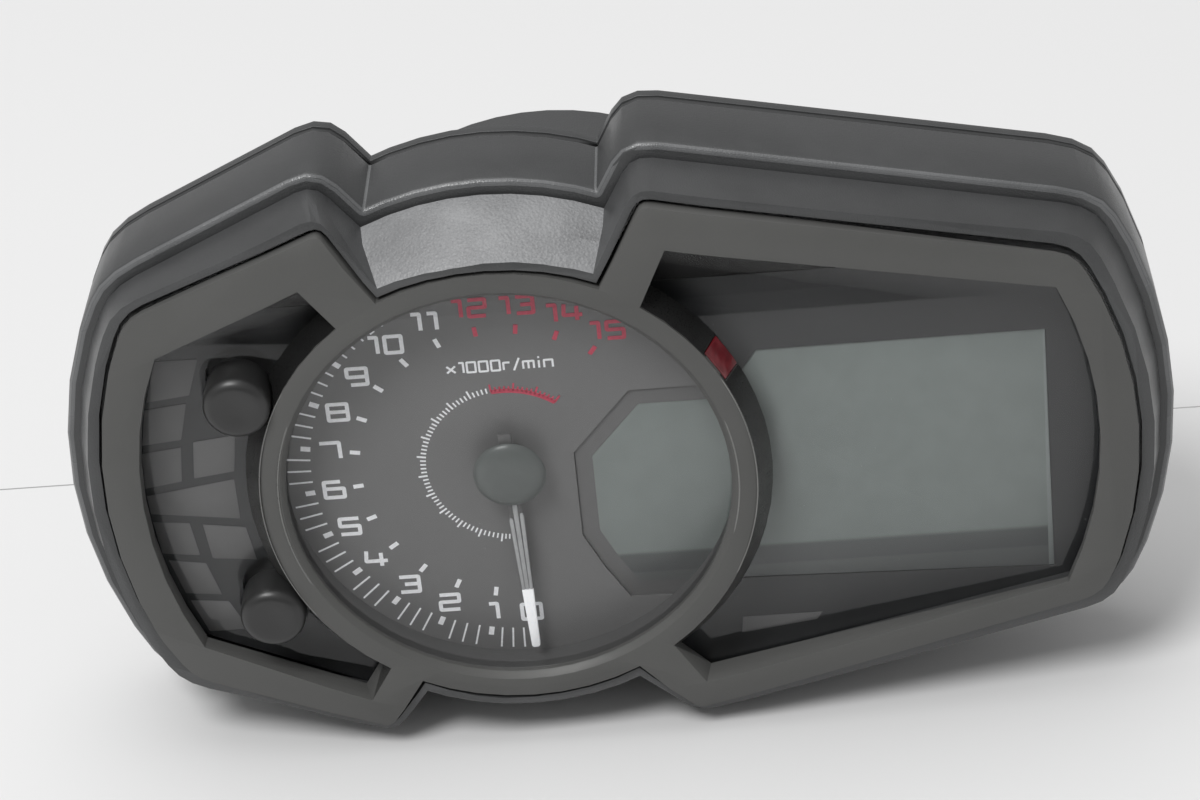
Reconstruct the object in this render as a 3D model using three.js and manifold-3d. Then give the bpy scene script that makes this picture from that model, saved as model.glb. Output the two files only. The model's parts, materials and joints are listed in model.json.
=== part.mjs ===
// Motorcycle instrument cluster: tachometer, liquid crystal display and warning lamp panel in one housing.
// Millimetres. The dial's centre is the working origin: +X to the rider's right, +Z up, +Y into the dash.
import * as THREE from 'three';
import { mergeVertices } from 'three/addons/utils/BufferGeometryUtils.js';
import Module from 'manifold-3d';

const wasm = await Module();
wasm.setup();

// ---- driving dimensions -------------------------------------------------------------------------
const gap = 0.3;                 // air left between neighbours that rest on each other
const wall = 2.2;

const bezelFront = -10.4;        // front and rear plane of the bezel
const bezelBack = -5.6;
const ringInner = 43.7;          // dial ring: edges of its front face, and the chamfer inside it
const ringOuter = 47.6;
const ringChamfer = 1.2;
const barFall = 0.22;            // how much the top and bottom bars fall away per millimetre
const skirtRadius = 50.5;        // conical skirt that runs from the ring down to the lens
const lampSpan = [26, 34.5];     // shift lamp in the skirt, degrees

const rimGap = 0.8;              // dark gap between bezel and shroud
const rimLip = 1.3;
const rimSetBack = 1.8;
const creaseDepth = 0;           // depth where the sloping flanks turn into the front tier's wall
const tierDepth = 6;             // depth of the step between front tier and rear tier
const stepWidth = 2.7;
const stepFall = 1.2;            // height of the rounded outer edge of the step
const caseBack = 24;             // rear edge of the front case
const screwInset = 3.6;          // screw centres, in from the front tier's outline

const lensFront = -5.2;
const lensThick = 2.0;
const lensCrease = 32.5;         // height above which the lens leans back
const lensLean = 0.32;
const drumFront = -8.0;          // raised round part of the lens over the dial
const drumRadius = 46.1;

const plateFront = 0;            // dial, lamp panel and display mask
const plateThick = 1.0;
const dialRadius = 44.0;
const displayTray = 3.2;         // rear face of the frame around the display glass
const glassFront = 3.5;
const glassBack = 5.7;
const lightBack = 8.6;           // rear face of the display's backlight
const boardFront = 11.5;
const boardThick = 1.6;
const motorRadius = 13;
const motorHeight = 8.2;

const shaftRadius = 0.75;
const needleFront = -3.7;
const needleThick = 1.2;
const pointerLength = 39.8;
const capFront = -5.9;
const capRadius = 7;

const buttonRadius = 6.4;
const buttonFront = -12.4;
const buttonStem = 3.0;
const buttonPlaces = { upper: [-49.0, 23.3], lower: [-48.6, -24.6] };

const flangeFront = caseBack + 2 * gap + 1.2;
const flangeBack = caseBack + 4;
const tubBack = 33;              // back wall of the rear case
const humpBack = 41;             // raised block behind dial and display
const bossPlaces = [[-46, 27], [84, 26], [18, -41]];
const bossRadius = 10;
const bossBack = 45;
const bossBore = 6.9;
const socketPlace = [62, -12];
const socketSize = [34, 14];     // outside of the connector shroud, across and up
const socketCavity = [28, 8.4];
const socketBack = 53;
const socketDepth = 11;
const breatherPlace = [-44, -14];
const boardScrewPlaces = [[-58, 33], [2, 40], [88, 35], [60, -42]];

const sideSteps = 8;             // segments in the outline's bowed sides, in its arcs and in its corners
const middleSteps = 8;
const cornerSteps = 3;
const smallestRound = 0.4;
const ringSides = 64;            // segments of the ring, of turned parts and of small holes
const roundSides = 20;
const smallSides = 10;

const plateBack = plateFront + plateThick;
const needleBack = needleFront + needleThick;
const boardBack = boardFront + boardThick;

// ---- tools --------------------------------------------------------------------------------------
const toSolid = (geometry) => {
  const bare = geometry.clone();
  bare.deleteAttribute('normal');
  bare.deleteAttribute('uv');
  const welded = mergeVertices(bare, 1e-4);
  return new wasm.Manifold(new wasm.Mesh({
    numProp: 3,
    vertProperties: new Float32Array(welded.attributes.position.array),
    triVerts: new Uint32Array(welded.index.array),
  }));
};

const toGeometry = (solid) => {
  const mesh = solid.getMesh();
  const geometry = new THREE.BufferGeometry();
  geometry.setAttribute('position', new THREE.BufferAttribute(mesh.vertProperties, 3));
  geometry.setIndex(new THREE.BufferAttribute(mesh.triVerts, 1));
  geometry.computeVertexNormals();
  return geometry;
};

const joined = (...solids) => solids.reduce((sum, next) => sum.add(next));
const cut = (solid, ...tools) => tools.reduce((rest, tool) => rest.subtract(tool), solid);

const area = (points) => points.reduce((sum, [x, z], i) => {
  const [nextX, nextZ] = points[(i + 1) % points.length];
  return sum + (x * nextZ - nextX * z) / 2;
}, 0);
const turned = (points) => (area(points) < 0 ? [...points].reverse() : points);
const middleOf = (points) => [0, 1].map((k) => points.reduce((sum, at) => sum + at[k], 0) / points.length);

// Arc about a centre, both ends included; degrees from +X towards +Z.
const arc = (centre, radius, from, to, steps) => Array.from({ length: steps + 1 }, (_, i) => {
  const angle = THREE.MathUtils.degToRad(from + (to - from) * i / steps);
  return [centre[0] + radius * Math.cos(angle), centre[1] + radius * Math.sin(angle)];
});

// Shallow arc between two points that stands `rise` proud on its left.
const bow = (start, end, rise, steps) => {
  const [dx, dz] = [end[0] - start[0], end[1] - start[1]];
  const half = Math.hypot(dx, dz) / 2;
  const radius = (half * half + rise * rise) / (2 * rise);
  const back = (radius - rise) / (2 * half);
  const centre = [(start[0] + end[0]) / 2 + dz * back, (start[1] + end[1]) / 2 - dx * back];
  const from = Math.atan2(start[1] - centre[1], start[0] - centre[0]);
  const turn = Math.atan2(end[1] - centre[1], end[0] - centre[0]) - from;
  const sweep = Math.atan2(Math.sin(turn), Math.cos(turn));
  return arc(centre, radius, THREE.MathUtils.radToDeg(from), THREE.MathUtils.radToDeg(from + sweep), steps);
};

// Corner rounded with a quadratic curve: always the same number of points, so that tiers can be lofted.
const corner = (before, at, after, radius) => {
  const towards = (other) => {
    const length = Math.hypot(other[0] - at[0], other[1] - at[1]);
    const reach = Math.min(radius, length * 0.45) / length;
    return [at[0] + (other[0] - at[0]) * reach, at[1] + (other[1] - at[1]) * reach];
  };
  const [start, end] = [towards(before), towards(after)];
  return Array.from({ length: cornerSteps + 1 }, (_, i) => {
    const t = i / cornerSteps;
    return [0, 1].map((k) => (1 - t) ** 2 * start[k] + 2 * t * (1 - t) * at[k] + t * t * end[k]);
  });
};

// Outline moved outwards by `amount`, vertex by vertex, keeping the number of points.
const grow = (points, amount) => {
  const side = Math.sign(area(points));
  const sharpest = 0.35;
  return points.map((at, i) => {
    const before = points[(i + points.length - 1) % points.length];
    const after = points[(i + 1) % points.length];
    const normal = (a, b) => {
      const length = Math.hypot(b[0] - a[0], b[1] - a[1]);
      return [side * (b[1] - a[1]) / length, -side * (b[0] - a[0]) / length];
    };
    const [n1, n2] = [normal(before, at), normal(at, after)];
    const scale = amount / Math.max(sharpest, 1 + n1[0] * n2[0] + n1[1] * n2[1]);
    return [at[0] + (n1[0] + n2[0]) * scale, at[1] + (n1[1] + n2[1]) * scale];
  });
};

// Solid through a stack of outlines with equal point counts: [depth, outline] pairs from front to back.
const loft = (...sections) => {
  const slabs = sections.slice(1).map(([back, backLine], i) => {
    const [front, frontLine] = sections[i];
    const [source, target] = [turned(backLine), turned(frontLine)];
    const shape = new THREE.Shape(source.map(([x, z]) => new THREE.Vector2(x, z)));
    const geometry = new THREE.ExtrudeGeometry(shape, { depth: 1, bevelEnabled: false, steps: 1 });
    const position = geometry.attributes.position;
    const nearest = (x, z) => source.reduce((best, at, k) => {
      const distance = Math.hypot(at[0] - x, at[1] - z);
      return distance < best.distance ? { k, distance } : best;
    }, { k: 0, distance: Infinity }).k;
    for (let v = 0; v < position.count; v += 1) {
      const k = nearest(position.getX(v), position.getY(v));
      const isFront = position.getZ(v) > 0.5;
      const [x, z] = isFront ? target[k] : source[k];
      position.setXYZ(v, x, z, isFront ? -front : -back);
    }
    geometry.rotateX(Math.PI / 2);
    return toSolid(geometry);
  });
  return joined(...slabs);
};

const prism = (points, front, back) => loft([front, points], [back, points]);

const box = (xs, ys, zs) => {
  const geometry = new THREE.BoxGeometry(xs[1] - xs[0], ys[1] - ys[0], zs[1] - zs[0]);
  geometry.translate((xs[0] + xs[1]) / 2, (ys[0] + ys[1]) / 2, (zs[0] + zs[1]) / 2);
  return toSolid(geometry);
};
const block = ([x, z], [wide, high], front, back) =>
  box([x - wide / 2, x + wide / 2], [front, back], [z - high / 2, z + high / 2]);

// Turned part about an axis along Y: profile of [radius, depth] points, from front to back.
const turnedPart = (profile, [x, z] = [0, 0], sides = roundSides) => {
  const points = profile.map(([radius, depth]) => new THREE.Vector2(radius, depth));
  const geometry = new THREE.LatheGeometry(area(profile) > 0 ? points : points.reverse(), sides);
  geometry.translate(x, 0, z);
  return toSolid(geometry);
};
const disc = (radius, front, back, at, sides) =>
  turnedPart([[0, front], [radius, front], [radius, back], [0, back]], at, sides);

// Wedge-shaped tool along X: a polygon of [y, z] points between two x values.
const bar = (profile, fromX, toX) => {
  const shape = new THREE.Shape(turned(profile).map(([y, z]) => new THREE.Vector2(y, z)));
  const geometry = new THREE.ExtrudeGeometry(shape, { depth: toX - fromX, bevelEnabled: false });
  geometry.applyMatrix4(new THREE.Matrix4().set(0, 0, 1, fromX, 1, 0, 0, 0, 0, 1, 0, 0, 0, 0, 0, 1));
  return toSolid(geometry);
};

// ---- outlines -----------------------------------------------------------------------------------
// Outline of the whole cluster, `amount` outside its stated size: two wings joined by arcs around the dial.
const silhouette = (spec, amount = 0) => {
  const sharp = (points) => points.map((at) => [at, 0]);
  const path = [
    [spec.topLeft, spec.round], [spec.peak, spec.tight],
    ...sharp(arc([0, 0], ...spec.topArc, middleSteps)),
    [spec.topStart, spec.tight], [spec.topRight, spec.round],
    ...sharp(bow(spec.topRight, spec.lowRight, spec.rightRise, sideSteps).slice(1, -1)),
    [spec.lowRight, spec.round], [spec.lowStart, spec.tight],
    ...sharp(arc([0, 0], ...spec.lowArc, middleSteps)),
    [spec.lowPeak, spec.tight], [spec.lowLeft, spec.round],
    ...sharp(bow(spec.lowLeft, spec.topLeft, spec.leftRise, sideSteps).slice(1, -1)),
  ];
  const moved = grow(path.map(([at]) => at), amount);
  return path.flatMap(([, radius], i) => {
    const before = moved[(i + path.length - 1) % path.length];
    const after = moved[(i + 1) % path.length];
    return radius ? corner(before, moved[i], after, Math.max(smallestRound, radius + amount)) : [moved[i]];
  });
};

const bezelLine = (amount) => silhouette({
  topLeft: [-68.2, 41.1], peak: [-29.4, 57.3], topArc: [ringOuter, 115.2, 63.8],
  topStart: [30.0, 58.4], topRight: [108.9, 40.4], rightRise: 9.3,
  lowRight: [112.4, -35.7], lowStart: [32.6, -54.4], lowArc: [ringOuter, -63.0, -116.6],
  lowPeak: [-29.0, -54.0], lowLeft: [-67.0, -40.6], leftRise: 9.7, round: 4, tight: 1.6,
}, amount);
const creaseLine = (amount) => silhouette({
  topLeft: [-71.4, 42.0], peak: [-30.5, 60.4], topArc: [54.9, 114.2, 66.0],
  topStart: [29.1, 61.4], topRight: [112.0, 43.4], rightRise: 10.5,
  lowRight: [115.3, -40.0], lowStart: [33.4, -57.5], lowArc: [55.6, -64.5, -115.5],
  lowPeak: [-29.5, -57.4], lowLeft: [-71.2, -44.4], leftRise: 10.8, round: 5, tight: 3,
}, amount);
const tier = {
  topLeft: [-72.2, 41.7], peak: [-30.8, 60.9], topArc: [56.0, 114.4, 66.2],
  topStart: [28.6, 61.9], topRight: [113.4, 44.2], rightRise: 10.9,
  lowRight: [116.0, -42.0], lowStart: [33.5, -58.0], lowArc: [56.6, -64.5, -115.5],
  lowPeak: [-29.5, -58.0], lowLeft: [-72.8, -46.0], leftRise: 11.5, round: 6, tight: 4,
};
const tierLine = (amount) => silhouette(tier, amount);

// A case screw stands inside each of the eight corners of the wings.
const tierCorners = [tier.topLeft, tier.peak, tier.topStart, tier.topRight, tier.lowRight, tier.lowStart,
  tier.lowPeak, tier.lowLeft];
const screwPlaces = grow(tierCorners, -screwInset);

// Windows in the bezel. The arms beside the ring are drafted, so the front outline is larger low down.
const windowSides = { left: [[-63.0, 34.0], [-34.3, 46.8]], right: [[33.7, 49.9], [105.0, 34.7]] };
const windowRise = 7.2;
const leftWindow = (ringEnd, lowInner, lowOuter) => [
  ...windowSides.left, ...arc([0, 0], ringOuter, 126.3, 360 + ringEnd, middleSteps + sideSteps),
  lowInner, ...bow(lowOuter, windowSides.left[0], windowRise, sideSteps).slice(0, -1),
];
const rightWindow = (ringEnd, lowInner, lowOuter) => [
  ...arc([0, 0], ringOuter, ringEnd, 53.6, middleSteps + sideSteps), windowSides.right[0],
  ...bow(windowSides.right[1], lowOuter, windowRise, sideSteps), lowInner,
];
const lowEdges = { left: [[-63.4, -32.0], [-31.8, -46.5]], right: [[34.4, -47.3], [106.0, -31.2]] };
const leftWindowFront = leftWindow(-124.8, lowEdges.left[1], lowEdges.left[0]);
const leftWindowBack = leftWindow(-126.6, [-33.2, -45.6], [-63.0, -32.0]);
const rightWindowFront = rightWindow(-53.0, lowEdges.right[0], lowEdges.right[1]);
const rightWindowBack = rightWindow(-54.2, [35.4, -46.2], lowEdges.right[1]);

// Visible part of the liquid crystal display: a rectangle with a faceted nose that runs in under the dial.
const displayLine = [
  [15.8, -17.0], [15.8, 0.2], [25.6, 11.2], [41.5, 11.2], [48.8, 21.5], [103.4, 21.6], [104.0, -32.2],
  [22.6, -29.6], [19.2, -24.0],
];

// Warning lamp fields, from the top of the left wing downwards.
const lampTiles = [
  [[-65.1, 28.2], [-56.8, 28.2], [-59.6, 20.3], [-67.9, 19.4]],
  [[-68.6, 17.7], [-60.4, 18.6], [-62.6, 10.5], [-70.3, 9.8]],
  [[-70.7, 7.9], [-62.9, 8.9], [-63.9, 1.1], [-71.2, 0.0]],
  [[-60.4, 9.8], [-52.1, 10.7], [-53.4, 2.6], [-61.4, 1.6]],
  [[-71.2, -1.7], [-53.7, 0.8], [-53.8, -8.3], [-71.0, -5.9]],
  [[-70.9, -7.8], [-63.8, -8.6], [-62.9, -16.2], [-70.2, -15.2]],
  [[-61.3, -9.1], [-53.0, -10.4], [-51.9, -18.1], [-60.5, -17.1]],
  [[-69.2, -16.9], [-62.0, -18.2], [-59.9, -25.8], [-67.0, -24.9]],
  [[-66.3, -26.7], [-58.8, -27.5], [-55.8, -34.4], [-63.6, -34.4]],
];
const lightBoxLine = [
  [-71.6, -36], [-74, 0], [-71, 20], [-66.5, 30.5], [-52, 30.5], [-50, 12], [-50, -12], [-52.4, -20],
  [-54, -36],
];

// Raised block on the back, over the dial's motor and the display.
const humpLine = [
  [-12.8, -44.0], ...arc([10, 5], 50.3, 117, 71, middleSteps), [30, 50.0], [101, 35.0], [107, 28.0],
  [107, -28.0], [98, -35.0], [36, -46.5], [26, -48.5], [-6, -48.5],
];

// ---- crown of the bezel -------------------------------------------------------------------------
// Everything in front of depth = base + slopeX * x + slopeZ * z is cut away.
const cutFront = (solid, base, slopeX, slopeZ) => {
  const size = 600;
  const geometry = new THREE.BoxGeometry(size, size, size);
  const normal = new THREE.Vector3(slopeX, -1, slopeZ);
  const reach = -base / normal.length();
  normal.normalize();
  geometry.applyQuaternion(new THREE.Quaternion().setFromUnitVectors(new THREE.Vector3(0, 0, 1), normal));
  geometry.translate(...normal.clone().multiplyScalar(reach + size / 2).toArray());
  return solid.subtract(toSolid(geometry));
};

// The wings lean back sideways, and the bars above and below the windows lean back from the window edges.
const rightFall = { from: 42, slope: 0.045 };
const leftFall = { from: -40, slope: -0.055 };
const barHinges = [
  { fall: leftFall, line: windowSides.left },
  { fall: rightFall, line: windowSides.right },
  { fall: rightFall, line: [...lowEdges.right].reverse() },
  { fall: leftFall, line: [...lowEdges.left].reverse() },
];
const crown = (solid, setBack) => {
  const base = bezelFront + setBack;
  const sides = [rightFall, leftFall].reduce(
    (rest, { from, slope }) => cutFront(rest, base - slope * from, slope, 0),
    solid,
  );
  return barHinges.reduce((rest, { fall, line: [start, end] }) => {
    const length = Math.hypot(end[0] - start[0], end[1] - start[1]);
    const tiltX = -barFall * (end[1] - start[1]) / length;
    const tiltZ = barFall * (end[0] - start[0]) / length;
    const hinge = base - tiltX * start[0] - tiltZ * start[1];
    const flat = cutFront(rest, hinge, tiltX, tiltZ);
    return cutFront(flat, hinge - fall.slope * fall.from, tiltX + fall.slope, tiltZ);
  }, sides);
};

// ---- housing ------------------------------------------------------------------------------------
const frontCover = () => {
  const shell = loft(
    [bezelFront, bezelLine(rimGap + rimLip)], [creaseDepth, creaseLine()], [tierDepth - 0.8, tierLine()],
    [tierDepth - gap, tierLine(-0.5)],
  );
  const mouth = prism(bezelLine(rimGap), bezelFront - 1, lensFront + lensThick + 0.4);
  const ledge = prism(bezelLine(-3.5), lensFront + lensThick, creaseDepth);
  const cavity = loft([creaseDepth - 0.6, creaseLine(-3)], [tierDepth, tierLine(-wall)]);
  return crown(cut(shell, mouth, ledge, cavity), rimSetBack);
};

const mainHousing = () => {
  const shell = loft(
    [tierDepth, tierLine(stepWidth - 1)], [tierDepth + 0.4, tierLine(stepWidth - 0.35)],
    [tierDepth + stepFall, tierLine(stepWidth)], [caseBack, tierLine(stepWidth)],
  );
  const stepBack = tierDepth + 1.6;
  const mouth = prism(tierLine(-wall), tierDepth - 1, stepBack);
  const cavity = prism(tierLine(gap), stepBack, caseBack + 1);
  const bosses = screwPlaces.map((at) => disc(3.4, stepBack, caseBack - gap, at, smallSides));
  const pilots = screwPlaces.map((at) => disc(1.65, tierDepth + 4, caseBack + 1, at, smallSides));
  const insideOnly = prism(tierLine(1), tierDepth, caseBack);
  return cut(cut(shell, mouth, cavity).add(joined(...bosses).intersect(insideOnly)), ...pilots);
};

const backCover = () => {
  const flange = prism(tierLine(stepWidth), flangeFront, flangeBack);
  const tub = loft([flangeBack - 0.1, tierLine(-7.5)], [tubBack, tierLine(-8.8)]);
  const humpEdge = 1.2;
  const hump = loft(
    [flangeBack - 0.1, humpLine], [humpBack - humpEdge, humpLine], [humpBack, grow(humpLine, -humpEdge)],
  );
  const tubHollow = prism(tierLine(-11), caseBack, tubBack - wall);
  const humpHollow = prism(grow(humpLine, -wall - 0.6), flangeBack + 0.2, humpBack - wall);
  const bosses = bossPlaces.map((at) => disc(bossRadius, tubBack - wall - 0.1, bossBack, at));
  const [socketWide, socketHigh] = socketSize;
  return cut(
    joined(cut(joined(flange, tub, hump), tubHollow, humpHollow), ...bosses),
    ...bossPlaces.map((at) => disc(bossBore, bossBack - 8, bossBack + 1, at)),
    ...screwPlaces.map((at) => disc(1.7, caseBack, tubBack, at, smallSides)),
    block(socketPlace, [socketWide + 2 * gap, socketHigh + 2 * gap], humpBack - 12, humpBack + 1),
    disc(3.1, tubBack - 5, tubBack + 1, breatherPlace, smallSides),
  );
};

const sealGasket = () => cut(
  prism(tierLine(2.2), caseBack + gap, flangeFront - gap),
  prism(tierLine(0.9), caseBack, flangeFront),
);

// ---- bezel and lens -----------------------------------------------------------------------------
const skirt = () => turnedPart([
  [ringOuter - 1, bezelFront + 0.5], [ringOuter - 0.1, bezelFront + 0.5], [skirtRadius, bezelBack],
  [ringOuter - 1, bezelBack], [ringOuter - 1, bezelFront + 0.5],
], [0, 0], ringSides);
const lampSector = (spare, front, back) => prism([
  ...arc([0, 0], skirtRadius + 1, lampSpan[0] - spare, lampSpan[1] + spare, cornerSteps),
  ...arc([0, 0], ringOuter - gap - spare, lampSpan[1] + spare, lampSpan[0] - spare, cornerSteps),
], front, back);
const shiftLamp = () => skirt().intersect(lampSector(-gap / 2, bezelFront + 1.2, bezelBack));

const bezel = () => {
  const past = 0.1;
  const skirtInner = ringOuter - 1.2;
  const skirtFront = bezelFront + 2.3;
  const bore = turnedPart([
    [0, bezelFront - past], [ringInner + past, bezelFront - past],
    [ringInner - 1.1, bezelFront + ringChamfer], [ringInner - 1.1, skirtFront], [skirtInner, skirtFront],
    [skirtInner, bezelBack + past], [0, bezelBack + past],
  ], [0, 0], ringSides);
  const frame = cut(
    prism(bezelLine(), bezelFront, bezelBack),
    loft([bezelFront - past, leftWindowFront], [bezelBack + past, leftWindowBack]),
    loft([bezelFront - past, rightWindowFront], [bezelBack + past, rightWindowBack]),
    bore,
  );
  const notches = Object.values(buttonPlaces).map((at) => disc(buttonRadius + 0.6, bezelFront, 0, at));
  return crown(cut(
    joined(frame, skirt().intersect(prism(bezelLine(), bezelFront, bezelBack + past))),
    ...notches,
    lampSector(gap / 2, bezelFront + 0.9, bezelBack + past),
  ), 0);
};

const clearLens = () => {
  const back = lensFront + lensThick;
  const far = 12;
  const [left, right, top] = [-90, 140, 80];
  const drumHollow = drumRadius - 1.8;
  const aboveCrease = box([left, right], [lensFront - 4, far], [lensCrease, top]);
  const besideDial = (points, amount, front) => prism(grow(points, amount), front, far)
    .subtract(disc(ringOuter - 0.2, lensFront - 4, far + 2, [0, 0], ringSides))
    .intersect(aboveCrease);
  const leaning = (depth) => bar([
    [lensFront + depth, lensCrease], [lensFront + depth + (top - lensCrease) * lensLean, top], [left, top],
    [left, lensCrease],
  ], left, right);
  const windows = [leftWindowFront, rightWindowFront];
  const pockets = windows.map((line) => besideDial(line, 1.4, lensFront).intersect(leaning(lensThick)));
  const hollows = windows.map((line) => besideDial(line, 0.2, lensFront - 1).intersect(leaning(0)));
  const plate = cut(
    prism(bezelLine(gap), lensFront, back),
    disc(drumHollow, lensFront - 1, 0, [0, 0], ringSides),
  );
  const drum = turnedPart([
    [0, drumFront], [drumRadius - 0.5, drumFront], [drumRadius, drumFront + 0.5], [drumRadius, back],
    [drumHollow, back], [drumHollow, drumFront + 1.8], [0, drumFront + 1.8],
  ], [0, 0], ringSides);
  const holes = Object.values(buttonPlaces).map((at) => disc(buttonRadius + 0.6, lensFront - 1, 0, at));
  return cut(joined(plate, drum, ...pockets), ...hollows, ...holes);
};

// ---- dial, panels and display -------------------------------------------------------------------
const shaftHole = () => disc(2, plateFront - 1, boardBack + 1, [0, 0], smallSides);
const dialPlate = () => cut(
  disc(dialRadius, plateFront, plateBack, [0, 0], ringSides),
  prism(grow(displayLine, 3.4), plateFront - 1, plateBack + 1),
  shaftHole(),
);

const panelTop = 38;
const panel = (line, fromX, toX) => prism(grow(line, 3.2), plateFront, plateBack)
  .subtract(disc(dialRadius + gap, plateFront - 1, plateBack + 1, [0, 0], ringSides))
  .intersect(box([fromX, toX], [plateFront - 1, plateBack + 1], [-80, panelTop]));
const indicatorPanel = () => cut(
  panel(leftWindowFront, -90, -14),
  ...Object.values(buttonPlaces).map((at) => disc(buttonRadius + 0.6, plateFront - 1, plateBack + 1, at)),
);
const displayMask = () => cut(
  panel(rightWindowFront, 14, 140),
  prism(displayLine, plateFront - 1, plateBack + 1),
);

const displayBox = { x: [11, 108], z: [-37, 26] };
const displayLayer = (front, back, inset) => box(
  [displayBox.x[0] + inset, displayBox.x[1] - inset], [front, back],
  [displayBox.z[0] + inset, displayBox.z[1] - inset],
);
const displayFrame = () => cut(
  displayLayer(plateBack + gap, displayTray, 0),
  loft([plateBack, grow(displayLine, 2.4)], [displayTray + 0.1, displayLine]),
);
const displayGlass = () => displayLayer(glassFront, glassBack, 1.5);
const backlightPlate = () => displayLayer(glassBack + gap, lightBack, 0.5);

// ---- electronics --------------------------------------------------------------------------------
const circuitBoard = () => cut(
  prism(tierLine(-8.4), boardFront, boardBack),
  shaftHole(),
  ...boardScrewPlaces.map((at) => disc(1.7, boardFront - 1, boardBack + 1, at, smallSides)),
);
const boardScrew = (at) => turnedPart([
  [0, boardFront - 1.2], [1.35, boardFront - 1.2], [1.35, boardBack + gap], [2.6, boardBack + gap],
  [2.6, boardBack + 1.7], [0, boardBack + 1.7],
], at, smallSides);

const lightBox = () => cut(
  prism(lightBoxLine, plateBack + gap, boardFront - gap),
  ...lampTiles.map((tile) => prism(grow(tile, -0.2), plateFront, boardFront + 1)),
  ...Object.values(buttonPlaces).map((at) => disc(buttonRadius + 0.9, plateFront, boardFront + 1, at)),
);
const lampLed = (tile) => block(middleOf(tile), [3.2, 2.4], boardFront - 1.5, boardFront - gap);

const steppingMotor = () => {
  const front = boardBack + gap;
  const ears = [-14.5, 14.5].map((x) => disc(3.4, front, front + 2.3, [x, 0], smallSides));
  return cut(
    joined(disc(motorRadius, front, front + motorHeight, [0, 0]), ...ears),
    disc(shaftRadius + gap, boardFront, front + motorHeight - 1.5, [0, 0], smallSides),
  );
};
const mainChip = () => block([31, -23], [14, 14], boardBack + gap, boardBack + 2);

// ---- pointer ------------------------------------------------------------------------------------
const pointerShaft = () => disc(shaftRadius, needleFront + gap, boardBack + 6.5, [0, 0], smallSides);
const pointerNeedle = () => {
  const side = [[1.6, 9], [1.9, 0], [1.3, -22], [0.85, 0.6 - pointerLength]];
  const mirrored = [...side].reverse().map(([x, z]) => [-x, z]);
  const blade = prism([...side, [0, -pointerLength], ...mirrored], needleFront, needleBack);
  const hub = disc(4.6, needleFront, needleBack + 1.7, [0, 0]);
  return joined(blade, hub).subtract(disc(shaftRadius + gap, needleFront - 1, 0, [0, 0], smallSides));
};
const pointerCap = () => turnedPart([
  [0, capFront], [3.2, capFront + 0.2], [5.6, capFront + 0.8], [capRadius, capFront + 1.7],
  [capRadius, needleFront - gap], [0, needleFront - gap],
], [0, 0], 2 * smallSides);

// ---- buttons ------------------------------------------------------------------------------------
const buttonKnob = (at) => turnedPart([
  [0, buttonFront + 0.5], [2.8, buttonFront + 0.2], [4.6, buttonFront], [5.7, buttonFront + 0.5],
  [buttonRadius, buttonFront + 1.6], [buttonRadius, -3.6], [buttonStem, -3.6], [buttonStem, 5.4], [0, 5.4],
], at);
const buttonBoot = (at) => {
  const front = plateBack + gap + 0.2;
  const inner = buttonStem + 0.4;
  return turnedPart([
    [inner, front], [buttonRadius + 0.5, front], [buttonRadius + 0.5, front + 1.5], [4.4, front + 1.9],
    [4.0, front + 3.3], [inner, front + 3.3], [inner, front],
  ], at);
};
const switchBody = (at) => block(at, [6, 6], 7.3, boardFront - gap);

// ---- connector and fixings ----------------------------------------------------------------------
const connectorShell = () => {
  const [x, z] = socketPlace;
  const shroudTop = z + socketSize[1] / 2;
  return cut(
    joined(
      block(socketPlace, socketSize, boardBack + gap, socketBack),
      box([x - 4, x + 4], [humpBack + 1, socketBack - 3], [shroudTop - 0.1, shroudTop + 2]),
    ),
    block(socketPlace, socketCavity, socketBack - socketDepth, socketBack + 1),
  );
};
const pinPitch = 3.4;
const pinRows = [-1.8, 1.8];
const pinsPerRow = 8;
const connectorPins = () => {
  const [x, z] = socketPlace;
  const [bedFront, bedBack] = [socketBack - socketDepth + gap, socketBack - socketDepth + 1.2];
  const pin = (i, row) => block(
    [x + (i - (pinsPerRow - 1) / 2) * pinPitch, z + row], [0.6, 0.7], bedBack - 0.2, socketBack - 5,
  );
  const bed = block(socketPlace, socketCavity.map((side) => side - 4 * gap), bedFront, bedBack);
  return joined(bed, ...pinRows.flatMap((row) => Array.from({ length: pinsPerRow }, (_, i) => pin(i, row))));
};
const caseScrew = (at) => {
  const head = flangeBack + gap;
  return turnedPart([
    [0, tierDepth + 6], [1.35, tierDepth + 6], [1.35, head], [2.9, head], [2.9, head + 1.2],
    [2.2, head + 1.9], [0, head + 1.9],
  ], at, smallSides);
};
const grommet = (at) => turnedPart([
  [4.2, bossBack - 7.7], [bossBore - gap, bossBack - 7.7], [bossBore - gap, bossBack + gap],
  [9, bossBack + gap], [9, bossBack + 1.9], [4.2, bossBack + 1.9], [4.2, bossBack - 7.7],
], at);
const sleeveBore = 3.1;
const sleeve = (at) => turnedPart([
  [sleeveBore, bossBack - 7], [3.9, bossBack - 7], [3.9, bossBack + 2.2], [8, bossBack + 2.2],
  [8, bossBack + 3.4], [sleeveBore, bossBack + 3.4], [sleeveBore, bossBack - 7],
], at);
const breatherCap = () => turnedPart([
  [0, tubBack - 2], [2.8, tubBack - 2], [2.8, tubBack + gap], [4.2, tubBack + gap], [4.2, tubBack + 1.8],
  [3.2, tubBack + 2.6], [0, tubBack + 2.6],
], breatherPlace);

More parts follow.
